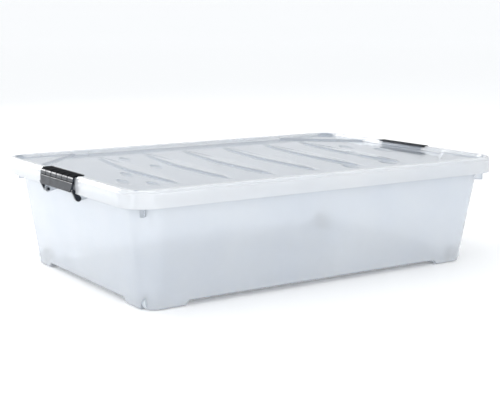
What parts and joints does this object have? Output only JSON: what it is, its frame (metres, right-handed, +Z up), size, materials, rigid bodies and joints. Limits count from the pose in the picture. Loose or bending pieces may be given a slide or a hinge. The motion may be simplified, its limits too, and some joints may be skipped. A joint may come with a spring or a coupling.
{
  "type": "under-bed storage box",
  "caption": "Long low clear plastic box on corner wheels, with a sunk ribbed lid held by a black swing latch at each short end.",
  "frame": {"origin": "on the floor, below the middle of the box", "axes": "+X along the long side, +Y along the short side, +Z up"},
  "size_m": [0.759, 0.512, 0.1956],
  "materials": {
    "clear_tub": "frosted clear polypropylene, satin outside",
    "clear_lid": "frosted clear polypropylene, satin",
    "black_latch": "satin black moulding",
    "grey_wheel": "semi-clear grey moulding",
    "steel_pin": "drawn steel pin"
  },
  "bodies": {
    "tub": {"tub": "clear_tub", "axle_pin_front_left": "steel_pin", "axle_pin_front_right": "steel_pin", "axle_pin_back_left": "steel_pin", "axle_pin_back_right": "steel_pin"},
    "lid": {"lid": "clear_lid"},
    "latch_left": {"latch_left": "black_latch"},
    "latch_right": {"latch_right": "black_latch"},
    "wheel_front_left": {"wheel_front_left": "grey_wheel"},
    "wheel_front_right": {"wheel_front_right": "grey_wheel"},
    "wheel_back_left": {"wheel_back_left": "grey_wheel"},
    "wheel_back_right": {"wheel_back_right": "grey_wheel"}
  },
  "joints": [
    {"name": "lid_lift", "type": "slide", "parent": "tub", "child": "lid", "axis": [0, 0, 1], "range_m": [0, 0.3]},
    {"name": "latch_left_swing", "type": "hinge", "parent": "tub", "child": "latch_left", "pos_m": [-0.3675, 0, 0.158], "axis": [0, -1, 0], "range_deg": [0, 170]},
    {"name": "latch_right_swing", "type": "hinge", "parent": "tub", "child": "latch_right", "pos_m": [0.3675, 0, 0.158], "axis": [0, 1, 0], "range_deg": [0, 170]},
    {"name": "wheel_front_left_roll", "type": "hinge", "parent": "tub", "child": "wheel_front_left", "pos_m": [-0.315, -0.2, 0.0125], "axis": [0, 1, 0], "continuous": true},
    {"name": "wheel_front_right_roll", "type": "hinge", "parent": "tub", "child": "wheel_front_right", "pos_m": [0.315, -0.2, 0.0125], "axis": [0, 1, 0], "continuous": true},
    {"name": "wheel_back_left_roll", "type": "hinge", "parent": "tub", "child": "wheel_back_left", "pos_m": [-0.315, 0.2, 0.0125], "axis": [0, 1, 0], "continuous": true},
    {"name": "wheel_back_right_roll", "type": "hinge", "parent": "tub", "child": "wheel_back_right", "pos_m": [0.315, 0.2, 0.0125], "axis": [0, 1, 0], "continuous": true}
  ]
}
